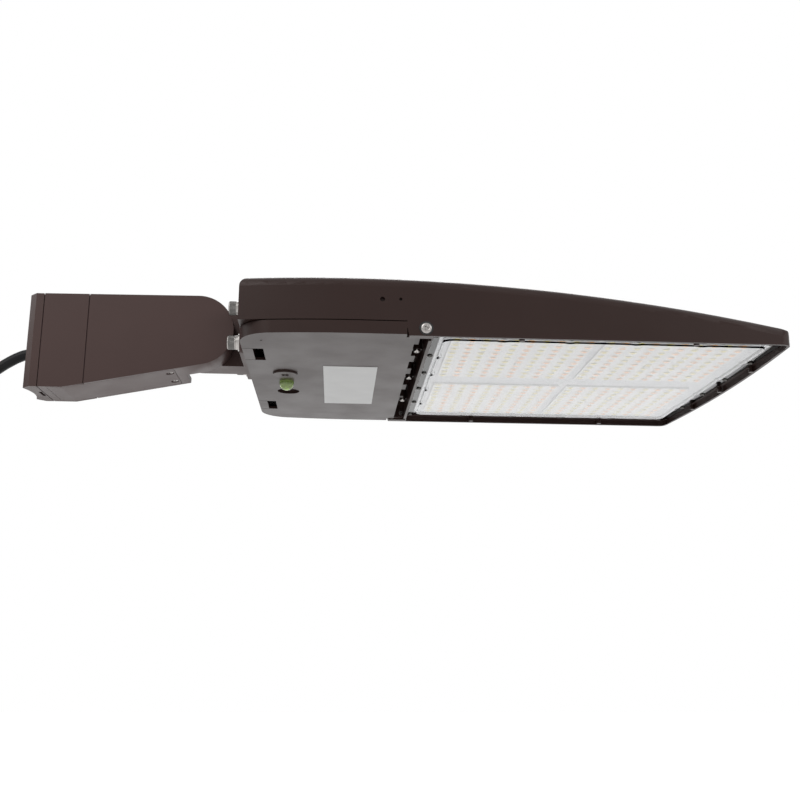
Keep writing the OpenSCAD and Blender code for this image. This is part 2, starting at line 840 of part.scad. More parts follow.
module board_screws() {
    color(steel) in_head() board_screw_places() {
        translate([0, 0, board_z - 1.5]) rod_z(board_screw_r, 1.5);
        translate([0, 0, board_z - 0.1]) rod_z(2, engine_depth - board_z + 0.1);
    }
}

// Places of the screws round the lens edge
module lens_screw_places() {
    y0 = lens_w / 2 - lens_screw_in;
    for (i = [0 : lens_screw_n], s = [-1, 1])
        translate([lens_screw_x0 + i * lens_screw_pitch, s * y0, 0]) children();
    for (y = [-90, -30, 30, 90], x = [lens_screw_x0, lens_x + lens_l - lens_screw_in])
        translate([x, y, 0]) children();
}

// The lens's middle, with a scallop round each screw; inset draws the outline in by the wall
module lens_step(inset = 0) {
    d = lens_step_in + inset;
    difference() {
        round_rect(lens_x + d, d - lens_w / 2, lens_x + lens_l - d, lens_w / 2 - d, lens_step_r - inset);
        lens_screw_places() circle(scallop_r + inset, $fn = 64);
    }
}

// Flat edge and a middle that stands out of it
module lens() {
    color([0.95, 0.97, 0.98, 0.35]) in_head() difference() {
        union() {
            translate([0, 0, lens_z]) linear_extrude(lens_t)
                round_rect(lens_x, -lens_w / 2, lens_x + lens_l, lens_w / 2, 3);
            translate([0, 0, lens_z - lens_rise]) linear_extrude(lens_rise + 0.5) lens_step();
        }
        translate([0, 0, lens_z - lens_rise + lens_t]) linear_extrude(10) lens_step(lens_t);
        lens_screw_places() translate([0, 0, -1]) rod_z(1.8, 10);
    }
}

module lens_gasket() {
    w = gasket_ring_w;
    color([0.5, 0.5, 0.5]) in_head() difference() {
        box([lens_x, -lens_w / 2, lens_z + lens_t], [lens_x + lens_l, lens_w / 2, engine_depth - sheet_t]);
        box([lens_x + w, -lens_w / 2 + w, 0], [lens_x + lens_l - w, lens_w / 2 - w, 10]);
        lens_screw_places() translate([0, 0, -1]) rod_z(1.8, 10);
    }
}

module lens_screws() {
    color(dark_steel) in_head() lens_screw_places() {
        translate([0, 0, lens_z - 1.3]) rod_z(lens_screw_r, 1.3);
        translate([0, 0, lens_z - 0.1]) rod_z(1.5, engine_depth - sheet_t - lens_z);
    }
}

module gap_screws() {
    color(steel) in_head() for (y = post_ys)
        translate([post_x, y, post_z - 2.4]) rod_z(3.4, 2.4);
}

module head_bushing() {
    color(black) in_head() translate([0, wire_y, mount_z]) difference() {
        union() {
            translate([0.5, 0, 0]) rod_x(wire_hole_r - fit, bay_rim_w);
            translate([bay_rim_w, 0, 0]) rod_x(bushing_flange_r, bushing_flange_t);
        }
        translate([-1, 0, 0]) rod_x(sleeve_r + fit, 30);
    }
}

// Sleeved leads from the neck to the terminal block
module head_leads() {
    x = arm_reach;
    z = knuckle_z;
    block_y = terminal_pos[1] + terminal_size[1];
    color([0.15, 0.15, 0.15])
        tube([[knuckle_x + 18, wire_y, z], [x + 11.5, wire_y, z], [x + 15, 13.5, z - 0.4],
              [x + 18, 9, z - 1.2], [x + 19.5, 2, z - 2], [x + 20, -8, z - 2.5],
              [x + 20, block_y, z - 2.5]], sleeve_r, 8);
}

// ---------------------------------------------------------------- door

module driver_door() {
    color(bronze) in_head() difference() {
        union() {
            // floor
            linear_extrude(door_t) {
                rear_plan(door_side_l);
                translate([door_side_l - 1, -ear_out_y])
                    square([door_floor_l - door_side_l + 1, 2 * ear_out_y]);
            }
            // outer wall
            linear_extrude(seam_z) difference() {
                rear_plan(door_side_l);
                rear_plan(door_side_l + 1, door_wall_t);
            }
            // gasket ledge
            linear_extrude(ledge_z) difference() {
                rear_plan(ledge_end_x, 0.5);
                rear_plan(ledge_end_x - ledge_w, door_wall_t + ledge_w);
            }
            hinge_ears();
            translate([latch_x, latch_y, 0]) rod_z(latch_d / 2 + 3, door_t + 2);
            translate([latch_x, level_y, 0]) rod_z(level_flange_r + 3, door_t + 1.2);
            translate([latch_x, recess_y, 0]) rod_z(recess_d / 2 + 2.5, recess_depth + 2.5);
            door_ribs();
        }
        // latch: a shallow seat for the head and a bore for the shaft
        translate([latch_x, latch_y, -1]) rod_z(latch_d / 2 + 0.3, 1 + door_t);
        translate([latch_x, latch_y, -1]) rod_z(latch_shaft_r + run_fit, 20);
        // level: dome hole and its flange seat inside
        translate([latch_x, level_y, -1]) rod_z(level_r + 0.1, 20);
        translate([latch_x, level_y, door_t]) rod_z(level_flange_r + 0.2, 20);
        // finger recess
        translate([latch_x, recess_y, -1]) rod_z(recess_d / 2, 1 + recess_depth);
        // open part of each hook window
        for (y = window_ys)
            box([window_tab, y - window_l / 2, -1], [window_x, y + window_l / 2, 20]);
        for (y = window_ys) window_groove(y);
        // small drain hole
        translate([door_drain[0], door_drain[1], -1]) rod_z(1, 20);
    }
}

// Fine groove round each body-coloured tab beside its window
module window_groove(y) {
    for (s = [-1, 1])
        box([-1, y + s * window_l / 2 - 0.4, -1], [window_tab + 0.1, y + s * window_l / 2 + 0.4, 0.8]);
}

module door_ribs() {
    for (x = rib_xs)
        box([x - rib_t / 2, -rear_corner_y, 0.5], [x + rib_t / 2, rear_corner_y, ledge_z]);
}

module hinge_ears() {
    c = [hinge_x, hinge_z];
    low = [door_side_l - 4, 0];
    high = [door_side_l - 4, ledge_z];
    both_sides() difference() {
        across(ear_out_y - ear_t, ear_out_y) {
            translate(c) circle(ear_r, $fn = 64);
            polygon([low, tangent_point(low, c, ear_r, -1), c, tangent_point(high, c, ear_r, 1), high]);
        }
        translate([hinge_x, ear_out_y - ear_t - 1, hinge_z]) rod_y(hinge_r, ear_t + 2);
    }
}

module door_gasket() {
    i0 = gasket_inset;
    color([0.55, 0.52, 0.5]) in_head() translate([0, 0, ledge_z]) linear_extrude(gasket_h) difference() {
        rear_plan(ledge_end_x - 0.6, i0);
        rear_plan(ledge_end_x - 0.6 - gasket_w, i0 + gasket_w);
    }
}

module bubble_level() {
    sphere_z = level_r - level_rise;
    color([0.55, 0.85, 0.35, 0.6]) in_head() translate([latch_x, level_y, 0]) {
        translate([0, 0, sphere_z]) sphere(level_r, $fn = 64);
        translate([0, 0, sphere_z]) rod_z(level_r, door_t - sphere_z + level_flange_t);
        translate([0, 0, door_t]) rod_z(level_flange_r, level_flange_t);
    }
}

module level_clip() {
    color(dark_steel) in_head() translate([latch_x, level_y, door_t + level_flange_t]) difference() {
        rod_z(level_flange_r, clip_t);
        translate([0, 0, -1]) rod_z(level_r - 1.5, 5);
    }
}

module label_plate() {
    color(white) in_head() box([label_x, label_y - label_l / 2, -label_t],
                               [label_x + label_w, label_y + label_l / 2, 0]);
}

// Broad head with a cross recess, shaft and a groove for the clip
module captive_screw() {
    slot_w = 2;
    slot_l = 8;
    head_t = latch_rise + door_t - 0.4;
    groove_z = door_t + 2.6;
    color(bronze) in_head() translate([latch_x, latch_y, 0]) difference() {
        union() {
            translate([0, 0, -latch_rise]) rod_z(latch_d / 2, head_t);
            translate([0, 0, -latch_rise]) rod_z(latch_shaft_r, latch_top_z + latch_rise);
        }
        for (a = [45, 135]) rotate([0, 0, a])
            box([-slot_l / 2, -slot_w / 2, -latch_rise - 1], [slot_l / 2, slot_w / 2, -latch_rise + 1.6]);
        translate([0, 0, groove_z]) difference() {
            rod_z(latch_shaft_r + 1, latch_clip_t + 0.1);
            rod_z(latch_shaft_r - 1, latch_clip_t + 0.1);
        }
    }
}

module screw_clip() {
    groove_z = door_t + 2.65;
    color(steel) in_head() translate([latch_x, latch_y, groove_z]) difference() {
        rod_z(latch_clip_r, latch_clip_t);
        translate([0, 0, -1]) rod_z(latch_shaft_r - 0.95, 5);
        box([-2, 0, -1], [2, 20, 5]);
    }
}

// ---------------------------------------------------------------- flange and neck

module flange_outline(extra = 0) {
    round_rect(-flange_w / 2 - extra, -flange_h / 2 - extra, flange_w / 2 + extra, flange_h / 2 + extra, 8);
}

module flange_gasket() {
    color(black) translate([0, 0, knuckle_z]) difference() {
        lengthwise(flange_x1, arm_reach) flange_outline(-0.6);
        translate([flange_x1 - 1, wire_y, 0]) rod_x(wire_hole_r, 5);
        translate([flange_x1 - 1, 0, 0]) flange_bolt_places() rod_x(flange_hole_r, 5);
    }
}

// Flange with the knuckle half that turns on the tilt bolt
module tilt_neck() {
    w = neck_wall;
    color(arm_bronze) difference() {
        union() {
            translate([0, 0, knuckle_z]) lengthwise(flange_x0, flange_x1) flange_outline();
            difference() {
                across(gap_half, half_arm) neck_side(neck_r);
                across(gap_half + w, half_arm - w) neck_side(neck_r - w);
            }
            translate([knuckle_x, gap_half, knuckle_z]) rod_y(boss_r, half_arm - gap_half);
        }
        translate([knuckle_x, -1, knuckle_z]) rod_y(tilt_bolt_r + run_fit, arm_w);
        translate([knuckle_x + 15, wire_y, knuckle_z]) rod_x(wire_hole_r, big);
        translate([flange_x0 - 1, 0, knuckle_z]) flange_bolt_places() rod_x(flange_hole_r, 20);
        // curved slot that passes the leads at every tilt
        translate([knuckle_x, gap_half - 1, knuckle_z]) rotate([-90, 125, 0])
            rotate_extrude(angle = 155, $fn = 96)
                translate([window_dx - window_r, 0]) square([2 * window_r, w + 2]);
    }
}

module neck_side(r) {
    translate([knuckle_x, knuckle_z]) circle(r, $fn = 128);
    translate([knuckle_x, knuckle_z - r]) square([flange_x0 + 1 - knuckle_x, 2 * r]);
}

module flange_bolts() {
    head_x = flange_x0 - flat_washer_t - spring_washer_t - bolt_head_h;
    color(steel) translate([head_x, 0, knuckle_z]) flange_bolt_places() difference() {
        union() {
            rod_x(bolt_head_r, bolt_head_h);
            rod_x(flange_bolt_r, arm_reach + bolt_depth - 2 - head_x);
        }
        // hexagon socket
        translate([-1, 0, 0]) rotate([0, 90, 0]) cylinder(r = 3.4, h = 5, $fn = 6);
    }
}

module washer_x(r, bore, t) {
    difference() {
        rod_x(r, t);
        translate([-1, 0, 0]) rod_x(bore, t + 2);
    }
}

module spring_washers() {
    color(steel) translate([flange_x0 - flat_washer_t - spring_washer_t, 0, knuckle_z])
        flange_bolt_places() difference() {
            washer_x(bolt_head_r, flange_bolt_r + 0.1, spring_washer_t);
            box([-1, -0.6, 0], [5, 0.6, 20]);
        }
}

module flat_washers() {
    color(steel) translate([flange_x0 - flat_washer_t, 0, knuckle_z])
        flange_bolt_places() washer_x(flat_washer_r, flange_bolt_r + 0.1, flat_washer_t);
}

// ---------------------------------------------------------------- arm

// Side outline of the arm, drawn in by inset
module arm_side(inset = 0) {
    top0 = [plate_x0, arm_top0 - inset];
    low0 = [slope_x, arm_bottom + inset];
    r = knuckle_r - inset;
    translate(knuckle_c) circle(r, $fn = 192);
    polygon([[plate_x0, arm_bottom + inset], low0, tangent_point(low0, knuckle_c, r, -1), knuckle_c,
             tangent_point(top0, knuckle_c, r, 1), top0]);
}

// The pole plate, with a saddle for a round pole, two bolt holes and the cord hole
module pole_plate() {
    rim = plate_chamfer;
    color(arm_bronze) difference() {
        translate([0, 0, -plate_h / 2]) linear_extrude(plate_h)
            polygon([[plate_x0, -half_arm + rim], [plate_x0 + rim, -half_arm], [plate_front, -half_arm],
                     [plate_front, half_arm], [plate_x0 + rim, half_arm], [plate_x0, half_arm - rim]]);
        translate([-saddle_r, 0, -plate_h]) cylinder(r = saddle_r, h = 2 * plate_h, $fn = 360);
        for (s = [-1, 1])
            translate([plate_x0 - 1, 0, s * pole_bolt_pitch / 2]) rod_x(pole_bolt_r, plate_t + 2);
        translate([plate_x0 - 1, 0, grommet_z]) rod_x(grommet_r, plate_t + 2);
        // shallow notch under the saddle
        translate([plate_front - 4, -8, -plate_h / 2 - 1]) cube([3, 16, 5]);
    }
}

// Gap for the wiring cover between the side walls, from the bottom up to height z1
module cover_opening(z1) {
    half = half_arm - arm_wall;
    box([cover_x0 - cover_gap, -half, -big], [cover_x1 + cover_gap, half, z1]);
}

// Stretch of the arm between x0 and x1, drawn in by inset on every side
module arm_stretch(x0, x1, inset = 0) {
    intersection() {
        across(-half_arm + inset, half_arm - inset) arm_side(inset);
        box([x0, -big, -big], [x1, big, big]);
    }
}

module arm_base() {
    color(arm_bronze) {
        difference() {
            union() {
                arm_stretch(base_start, base_end);
                // stepped lips that meet the plate and the arm inside each seam
                arm_stretch(plate_front, body_start, seam_step);
            }
            arm_stretch(base_front, big, arm_wall);
            cover_opening(arm_bottom + 12);
            // openings in the front wall for the pole bolts and the cord
            for (s = [-1, 1])
                translate([plate_front - 1, 0, s * pole_bolt_pitch / 2]) rod_x(9, base_wall + 2);
            translate([plate_front - 1, 0, grommet_z]) rod_x(grommet_r, base_wall + 2);
        }
        arm_screw_places() translate([base_end - 14, 0, 0]) difference() {
            rod_x(arm_screw_r + 2, 14 + seam);
            translate([4, 0, 0]) rod_x(arm_screw_r, 20);
        }
    }
}

module arm_screw_places() {
    for (y = [-1, 1])
        translate([0, y * arm_screw_y, arm_screw_z]) children();
}

// Shell with the knuckle's near half; the far half stops short to let the neck turn
module arm_shell() {
    w = arm_wall;
    difference() {
        union() {
            intersection() {
                across(-half_arm, -gap_half) arm_side();
                box([body_start, -big, -big], [big, big, big]);
            }
            intersection() {
                across(-1, half_arm) arm_side();
                union() {
                    box([body_start, -big, -big], [far_end_x, big, big]);
                    box([body_start, -big, -big], [lip_x, big, lip_top]);
                }
            }
        }
        // near half's hollow, round the bolt's boss and a bar over the cover's screw
        difference() {
            across(-half_arm + w, -gap_half - inner_wall) arm_side(w);
            translate([knuckle_x, -half_arm, knuckle_z]) rod_y(boss_r, arm_w);
            box([cover_screw_x - 3, -half_arm, -big],
                [cover_screw_x + 3, 0, arm_bottom + cover_opening_h + 6]);
        }
        // common hollow behind the knuckle
        arm_stretch(0, far_end_x - 4, w);
        cover_opening(arm_bottom + cover_opening_h);
        // window for the leads through the knuckle's inner wall
        translate([knuckle_x - window_dx, -gap_half - inner_wall - 1, knuckle_z])
            rod_y(window_r, inner_wall + 2);
    }
}

module arm_body() {
    color(arm_bronze) difference() {
        union() {
            arm_shell();
            arm_screw_places() translate([body_start, 0, 0]) rod_x(arm_screw_r + 2, arm_screw_boss_l);
            cover_screw_places() translate([0, 0, cover_boss_h + 0.2])
                rod_z(cover_screw_r + 1.5, arm_bottom + cover_opening_h + 3 - cover_seat_z - cover_boss_h);
        }
        arm_screw_places() translate([body_start - 1, 0, 0]) rod_x(arm_screw_r, 20);
        cover_screw_places() rod_z(2 + fit, cover_screw_l + 0.5);
        translate([knuckle_x, -tilt_thread_l - 1, knuckle_z]) rod_y(tilt_bolt_r + fit, 40);
    }
}

module arm_screws() {
    head_x = body_start + arm_screw_boss_l;
    color(dark_steel) arm_screw_places() {
        translate([base_end - 9, 0, 0]) rod_x(arm_screw_r - fit, head_x - base_end + 10);
        translate([head_x, 0, 0]) rod_x(arm_screw_head_r, 3);
    }
}

module tilt_bolt() {
    y1 = half_arm + tilt_washer_t;
    color(steel) translate([knuckle_x, 0, knuckle_z]) {
        translate([0, -tilt_thread_l, 0]) rod_y(tilt_bolt_r, tilt_thread_l + y1 + 1);
        translate([0, y1, 0]) rotate([-90, 0, 0]) cylinder(r = tilt_head_r, h = tilt_head_h, $fn = 6);
    }
}

module tilt_washer() {
    color(steel) translate([knuckle_x, half_arm + 0.05, knuckle_z]) difference() {
        rod_y(tilt_washer_r, tilt_washer_t - 0.05);
        translate([0, -1, 0]) rod_y(tilt_bolt_r + run_fit, 10);
    }
}

module cord_grommet() {
    color(black) translate([cord_x0, 0, grommet_z]) difference() {
        union() {
            rod_x(grommet_r - fit, base_front - cord_x0 + 1);
            translate([base_front - cord_x0 + fit, 0, 0]) rod_x(grommet_r + 2, 2.5);
        }
        translate([4, 0, 0]) rod_x(sleeve_r + fit, 40);
    }
}

// Sleeved leads from the cord grip along the arm to the knuckle's window
module arm_leads() {
    window_x = knuckle_x - window_dx;
    z = knuckle_z;
    color([0.15, 0.15, 0.15])
        tube([[cord_x0 + 4, 0, grommet_z], [26, 0, grommet_z], [38, -2, grommet_z + 2],
              [60, -11, grommet_z + 10], [72, -14, grommet_z + 14], [window_x - 44, -16, z - 3],
              [window_x - 21, -17, z], [window_x - 7, -16, z], [window_x - 2, -12.5, z],
              [window_x, -8, z], [window_x, -1, z]], sleeve_r, 8);
}

// Height of the arm's sloped underside at x
function arm_bottom_at(x) =
    let (p = [slope_x, arm_bottom], t = tangent_point(p, knuckle_c, knuckle_r, -1))
    p[1] + (x - p[0]) * (t[1] - p[1]) / (t[0] - p[0]);

// Height of the cover's screw seats
cover_seat_z = arm_bottom_at(cover_screw_x) + cover_t - 1;

module cover_screw_places() {
    for (y = [-1, 1])
        translate([cover_screw_x, y * cover_screw_y, cover_seat_z]) children();
}

module arm_cover() {
    half = half_arm - arm_wall - cover_gap;
    lip_z = arm_bottom + arm_wall;
    color(arm_bronze) difference() {
        union() {
            intersection() {
                difference() {
                    across(-half, half) arm_side();
                    across(-half - 1, half + 1) arm_side(cover_t);
                }
                box([cover_x0, -big, -big], [cover_x1, big, 0]);
            }
            // hook over the base's lip
            box([cover_x0 - 3, -half + 4, lip_z + 0.3], [cover_x0 + 4, half - 4, lip_z + 2.3]);
            box([cover_x0 + 0.5, -half + 4, arm_bottom + 1], [cover_x0 + 4, half - 4, lip_z + 1]);
            cover_screw_places() rod_z(cover_screw_r + 2, cover_boss_h);
        }
        cover_screw_places() translate([0, 0, -5]) rod_z(cover_screw_r + 0.3, 6.2);
        cover_screw_places() translate([0, 0, -10]) rod_z(2.1, 30);
    }
}

module cover_screws() {
    color(steel) cover_screw_places() difference() {
        union() {
            translate([0, 0, -1]) rod_z(cover_screw_r, 2.2);
            rod_z(2, cover_screw_l);
        }
        translate([0, 0, -3]) rod_z(1.2, 3);
    }
}

// ---------------------------------------------------------------- cord

// Rings of a round tube swept along a list of points, as one closed polyhedron
function along(p, i) = let (n = len(p) - 1)
    i == 0 ? p[1] - p[0] : i == n ? p[n] - p[n - 1] : p[i + 1] - p[i - 1];
function unit(v) = v / norm(v);
function ring_frame(d, up) =
    let (t = unit(d), side = unit(cross(t, up)))
    [side, cross(t, side)];

// up is a direction that the route never runs along
module tube(points, r, sides, up = [0, 0, 1]) {
    n = len(points);
    pts = [for (i = [0 : n - 1]) let (f = ring_frame(along(points, i), up))
        for (k = [0 : sides - 1]) let (a = 360 * k / sides)
            points[i] + r * (f[0] * cos(a) + f[1] * sin(a))];
    skin = [for (i = [0 : n - 2], k = [0 : sides - 1])
        let (a = i * sides + k, b = i * sides + (k + 1) % sides)
            each [[a, b, b + sides], [a, b + sides, a + sides]]];
    cap0 = [for (k = [1 : sides - 2]) [0, k + 1, k]];
    cap1 = let (o = (n - 1) * sides) [for (k = [1 : sides - 2]) [o, o + k, o + k + 1]];
    polyhedron(points = pts, faces = concat(skin, cap0, cap1));
}

// Point of the coil, t turns in from where the lead joins it
function coil_point(t) =
    [coil_x - coil_pitch * t, -coil_r * cos(360 * t), coil_z - coil_r * sin(360 * t)];

// The coil with a straight end, one diameter long, above its first point and below its last
coil_points = concat([coil_point(0) + [0, 0, cord_d]],
    [for (i = [0 : coil_turns * coil_rings]) coil_point(i / coil_rings)],
    [coil_point(coil_turns) - [0, 0, cord_d]]);

// Least gap of the coil to itself, over points more than a third of a turn apart
coil_gap = min([for (i = [0 : len(coil_points) - 1], j = [i + 8 : 1 : len(coil_points) - 1])
    norm(coil_points[i] - coil_points[j])]) - cord_d;

module cord_lead() {
    color(black) tube(cord_route, cord_r, lead_sides, [0, 1, 0]);
}

module cord_coil() {
    echo(coil_gap = coil_gap);
    color(black) tube(coil_points, cord_r, coil_sides, [1, 0, 0]);
}

module cord_conductors() {
    color([0.8, 0.8, 0.8]) for (a = [0, 120, 240])
        translate(coil_point(coil_turns) + [conductor_ring * cos(a), conductor_ring * sin(a), -cord_d])
            rotate([0, 180, 0]) cylinder(r = conductor_r, h = conductor_l, $fn = 24);
}

// Outline round the two strands at the coil's far side, at distance r from their axes
module strands_outline(r) {
    x0 = coil_x - coil_pitch * (coil_turns - 0.5);
    x1 = coil_x - coil_pitch * 0.5;
    translate([x0, -r]) square([x1 - x0, 2 * r]);
    for (x = [x0, x1]) translate([x, 0]) circle(r, $fn = 48);
}

module cord_tie() {
    inner = cord_r + tie_gap;
    outer = inner + tie_t;
    head_x = coil_x - coil_pitch * coil_turns / 2;
    color(black) translate([0, coil_r, coil_z - tie_w / 2]) {
        linear_extrude(tie_w) difference() {
            strands_outline(outer);
            strands_outline(inner);
        }
        box([head_x - tie_head / 2, outer - 0.2, 0.5],
            [head_x + tie_head / 2, outer + tie_head - 1, tie_w - 0.5]);
    }
}

// ---------------------------------------------------------------- nodes

housing();
hinge_screws();
driver();
driver_screws();
surge_protector();
terminal_block();
driver_leads();
reflector_sheet();
led_board_1();
led_board_2();
led_board_3();
led_board_4();
board_screws();
lens();
lens_gasket();
lens_screws();
gap_screws();
head_bushing();
head_leads();
flange_gasket();
tilt_neck();
flange_bolts();
spring_washers();
flat_washers();
driver_door();
door_gasket();
bubble_level();
level_clip();
label_plate();
captive_screw();
screw_clip();
pole_plate();
arm_base();
arm_body();
arm_screws();
tilt_bolt();
tilt_washer();
cord_grommet();
arm_leads();
arm_cover();
cover_screws();
cord_lead();
cord_coil();
cord_conductors();
cord_tie();
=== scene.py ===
"""Shoebox area light on a tilting pole arm: looks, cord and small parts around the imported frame."""
import math

import bmesh
import bpy
from mathutils import Matrix, Vector


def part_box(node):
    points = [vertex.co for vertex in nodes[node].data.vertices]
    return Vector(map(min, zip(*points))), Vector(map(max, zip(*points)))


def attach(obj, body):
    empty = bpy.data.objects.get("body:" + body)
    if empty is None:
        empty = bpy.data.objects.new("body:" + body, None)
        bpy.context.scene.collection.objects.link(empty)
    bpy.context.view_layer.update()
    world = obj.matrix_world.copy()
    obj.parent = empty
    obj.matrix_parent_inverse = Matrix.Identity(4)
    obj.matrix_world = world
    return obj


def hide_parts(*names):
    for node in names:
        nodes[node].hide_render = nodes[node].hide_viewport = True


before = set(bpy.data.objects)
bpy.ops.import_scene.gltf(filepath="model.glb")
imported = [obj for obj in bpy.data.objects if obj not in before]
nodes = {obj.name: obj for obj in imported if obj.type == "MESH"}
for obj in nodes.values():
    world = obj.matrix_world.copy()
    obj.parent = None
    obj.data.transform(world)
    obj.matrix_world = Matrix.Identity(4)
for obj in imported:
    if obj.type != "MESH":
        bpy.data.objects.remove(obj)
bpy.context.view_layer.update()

MM = 0.001

# ---------------------------------------------------------------- camera

CAMERA_PLACE = Vector((285.4, -935.5, -264.6)) * MM
CAMERA_AZIMUTH = 3.642      # degrees to the right of +Y
CAMERA_ELEVATION = 13.275   # degrees up
CAMERA_ROLL = 0.354
LENS_MM = 45.005
SENSOR_MM = 36


def make_camera():
    data = bpy.data.cameras.new("camera")
    data.lens = LENS_MM
    data.sensor_width = SENSOR_MM
    data.clip_start = 0.01
    camera = bpy.data.objects.new("camera", data)
    bpy.context.scene.collection.objects.link(camera)
    camera.matrix_world = (
        Matrix.Translation(CAMERA_PLACE)
        @ Matrix.Rotation(math.radians(-CAMERA_AZIMUTH), 4, "Z")
        @ Matrix.Rotation(math.radians(90 + CAMERA_ELEVATION), 4, "X")
        @ Matrix.Rotation(math.radians(CAMERA_ROLL), 4, "Z")
    )
    bpy.context.scene.camera = camera


make_camera()

# ---------------------------------------------------------------- helpers


def link(obj):
    bpy.context.scene.collection.objects.link(obj)
    return obj


def mesh_piece(name, bm, materials, body, replaced=()):
    """Makes a piece from a bmesh, in the row frame, riding on a body."""
    mesh = bpy.data.meshes.new(name)
    bmesh.ops.recalc_face_normals(bm, faces=bm.faces)
    bm.to_mesh(mesh)
    bm.free()
    for material in materials:
        mesh.materials.append(material)
    mesh.shade_smooth()
    mesh.set_sharp_from_angle(angle=math.radians(32))
    obj = link(bpy.data.objects.new(name, mesh))
    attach(obj, body)
    if replaced:
        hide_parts(*replaced)
    return obj


def solids(name):
    """Boxes of the separate solids in a CAD node, ordered along X, then Y, then Z."""
    bm = bmesh.new()
    bm.from_mesh(nodes[name].data)
    bmesh.ops.remove_doubles(bm, verts=bm.verts, dist=1e-6)
    seen = set()
    found = []
    for start in bm.verts:
        if start in seen:
            continue
        seen.add(start)
        queue = [start]
        low = start.co.copy()
        high = start.co.copy()
        while queue:
            vert = queue.pop()
            low = Vector(map(min, low, vert.co))
            high = Vector(map(max, high, vert.co))
            for edge in vert.link_edges:
                other = edge.other_vert(vert)
                if other not in seen:
                    seen.add(other)
                    queue.append(other)
        found.append((low, high))
    bm.free()
    return sorted(found, key=lambda pair: tuple(round(c, 5) for c in (pair[0] + pair[1]) / 2))


def axes_along(axis):
    w = Vector(axis).normalized()
    u = w.orthogonal().normalized()
    if abs(w.z) < 0.9:
        u = Vector((0, 0, 1)).cross(w).normalized()
    return u, w.cross(u), w


def turned(bm, rings, place, axis, steps=48, material=0, turn=0.0):
    """Adds a turned body: rings are (radius, height) pairs along the axis, and a radius may be a
    function of the angle. The first and last rings are capped."""
    u, v, w = axes_along(axis)
    rows = []
    for radius, height in rings:
        row = []
        for i in range(steps):
            a = 2 * math.pi * i / steps
            r = radius(a) if callable(radius) else radius
            row.append(bm.verts.new(place + w * height
                                    + (u * math.cos(a + turn) + v * math.sin(a + turn)) * r))
        rows.append(row)
    faces = [bm.faces.new(list(reversed(rows[0]))), bm.faces.new(rows[-1])]
    for low, high in zip(rows, rows[1:]):
        for i in range(steps):
            j = (i + 1) % steps
            faces.append(bm.faces.new((low[i], low[j], high[j], high[i])))
    for face in faces:
        face.material_index = material
    return faces


def hexagon(flat):
    """Radius of a hexagon, given half its width across flats."""
    return lambda a: flat / math.cos((a % (math.pi / 3)) - math.pi / 6)


def cross_recess(half_width, half_length):
    """Radius of a cross with straight arms."""
    def radius(a):
        fold = a % (math.pi / 2)
        fold = min(fold, math.pi / 2 - fold)
        if math.tan(fold) <= half_width / half_length:
            return half_length / math.cos(fold)
        return half_width / math.sin(fold)
    return radius


def knurl(radius, depth, teeth):
    return lambda a: radius - depth * (0.5 - 0.5 * math.cos(teeth * a))


# ---------------------------------------------------------------- materials


def principled(name):
    material = bpy.data.materials.new(name)
    material.use_nodes = True
    tree = material.node_tree
    shader = tree.nodes["Principled BSDF"]
    coord = tree.nodes.new("ShaderNodeTexCoord")
    return material, tree, shader, coord.outputs["Object"]


def noise(tree, vector, scale, detail):
    node = tree.nodes.new("ShaderNodeTexNoise")
    node.inputs["Scale"].default_value = scale
    node.inputs["Detail"].default_value = detail
    tree.links.new(vector, node.inputs["Vector"])
    return node.outputs["Fac"]


def spread(tree, value, low, high, from_low=0.3, from_high=0.7):
    """Maps a value to the range from low to high."""
    node = tree.nodes.new("ShaderNodeMapRange")
    node.inputs["From Min"].default_value = from_low
    node.inputs["From Max"].default_value = from_high
    node.inputs["To Min"].default_value = low
    node.inputs["To Max"].default_value = high
    tree.links.new(value, node.inputs["Value"])
    return node.outputs["Result"]


# A Mix node has one A, one B and one result for each data type; these are the colour ones.
MIX_COLOUR_A = 6
MIX_COLOUR_B = 7
MIX_COLOUR_RESULT = 2


def mixed(tree, factor, a, b):
    """Colour between the colours a and b."""
    node = tree.nodes.new("ShaderNodeMix")
    node.data_type = "RGBA"
    tree.links.new(factor, node.inputs["Factor"])
    node.inputs[MIX_COLOUR_A].default_value = (*a, 1)
    node.inputs[MIX_COLOUR_B].default_value = (*b, 1)
    return node.outputs[MIX_COLOUR_RESULT]


def shade(colour, factor):
    return tuple(c * factor for c in colour)


def bump(tree, shader, height, distance):
    node = tree.nodes.new("ShaderNodeBump")
    node.inputs["Distance"].default_value = distance
    node.inputs["Strength"].default_value = 1
    tree.links.new(height, node.inputs["Height"])
    tree.links.new(node.outputs["Normal"], shader.inputs["Normal"])


def powder_coat(name, colour, roughness, specular, peel=0.00004):
    """Satin powder coat: orange peel, a slight cloudiness and smudges in its gloss."""
    material, tree, shader, place = principled(name)
    cloud = noise(tree, place, 9, 4)
    tree.links.new(mixed(tree, spread(tree, cloud, 0, 1), shade(colour, 0.93), shade(colour, 1.07)),
                   shader.inputs["Base Color"])
    smudge = noise(tree, place, 26, 5)
    tree.links.new(spread(tree, smudge, roughness - 0.04, roughness + 0.05), shader.inputs["Roughness"])
    shader.inputs["Specular IOR Level"].default_value = specular
    shader.inputs["Specular Tint"].default_value = (1, 0.91, 0.885, 1)
    bump(tree, shader, noise(tree, place, 700, 2), peel)
    return material


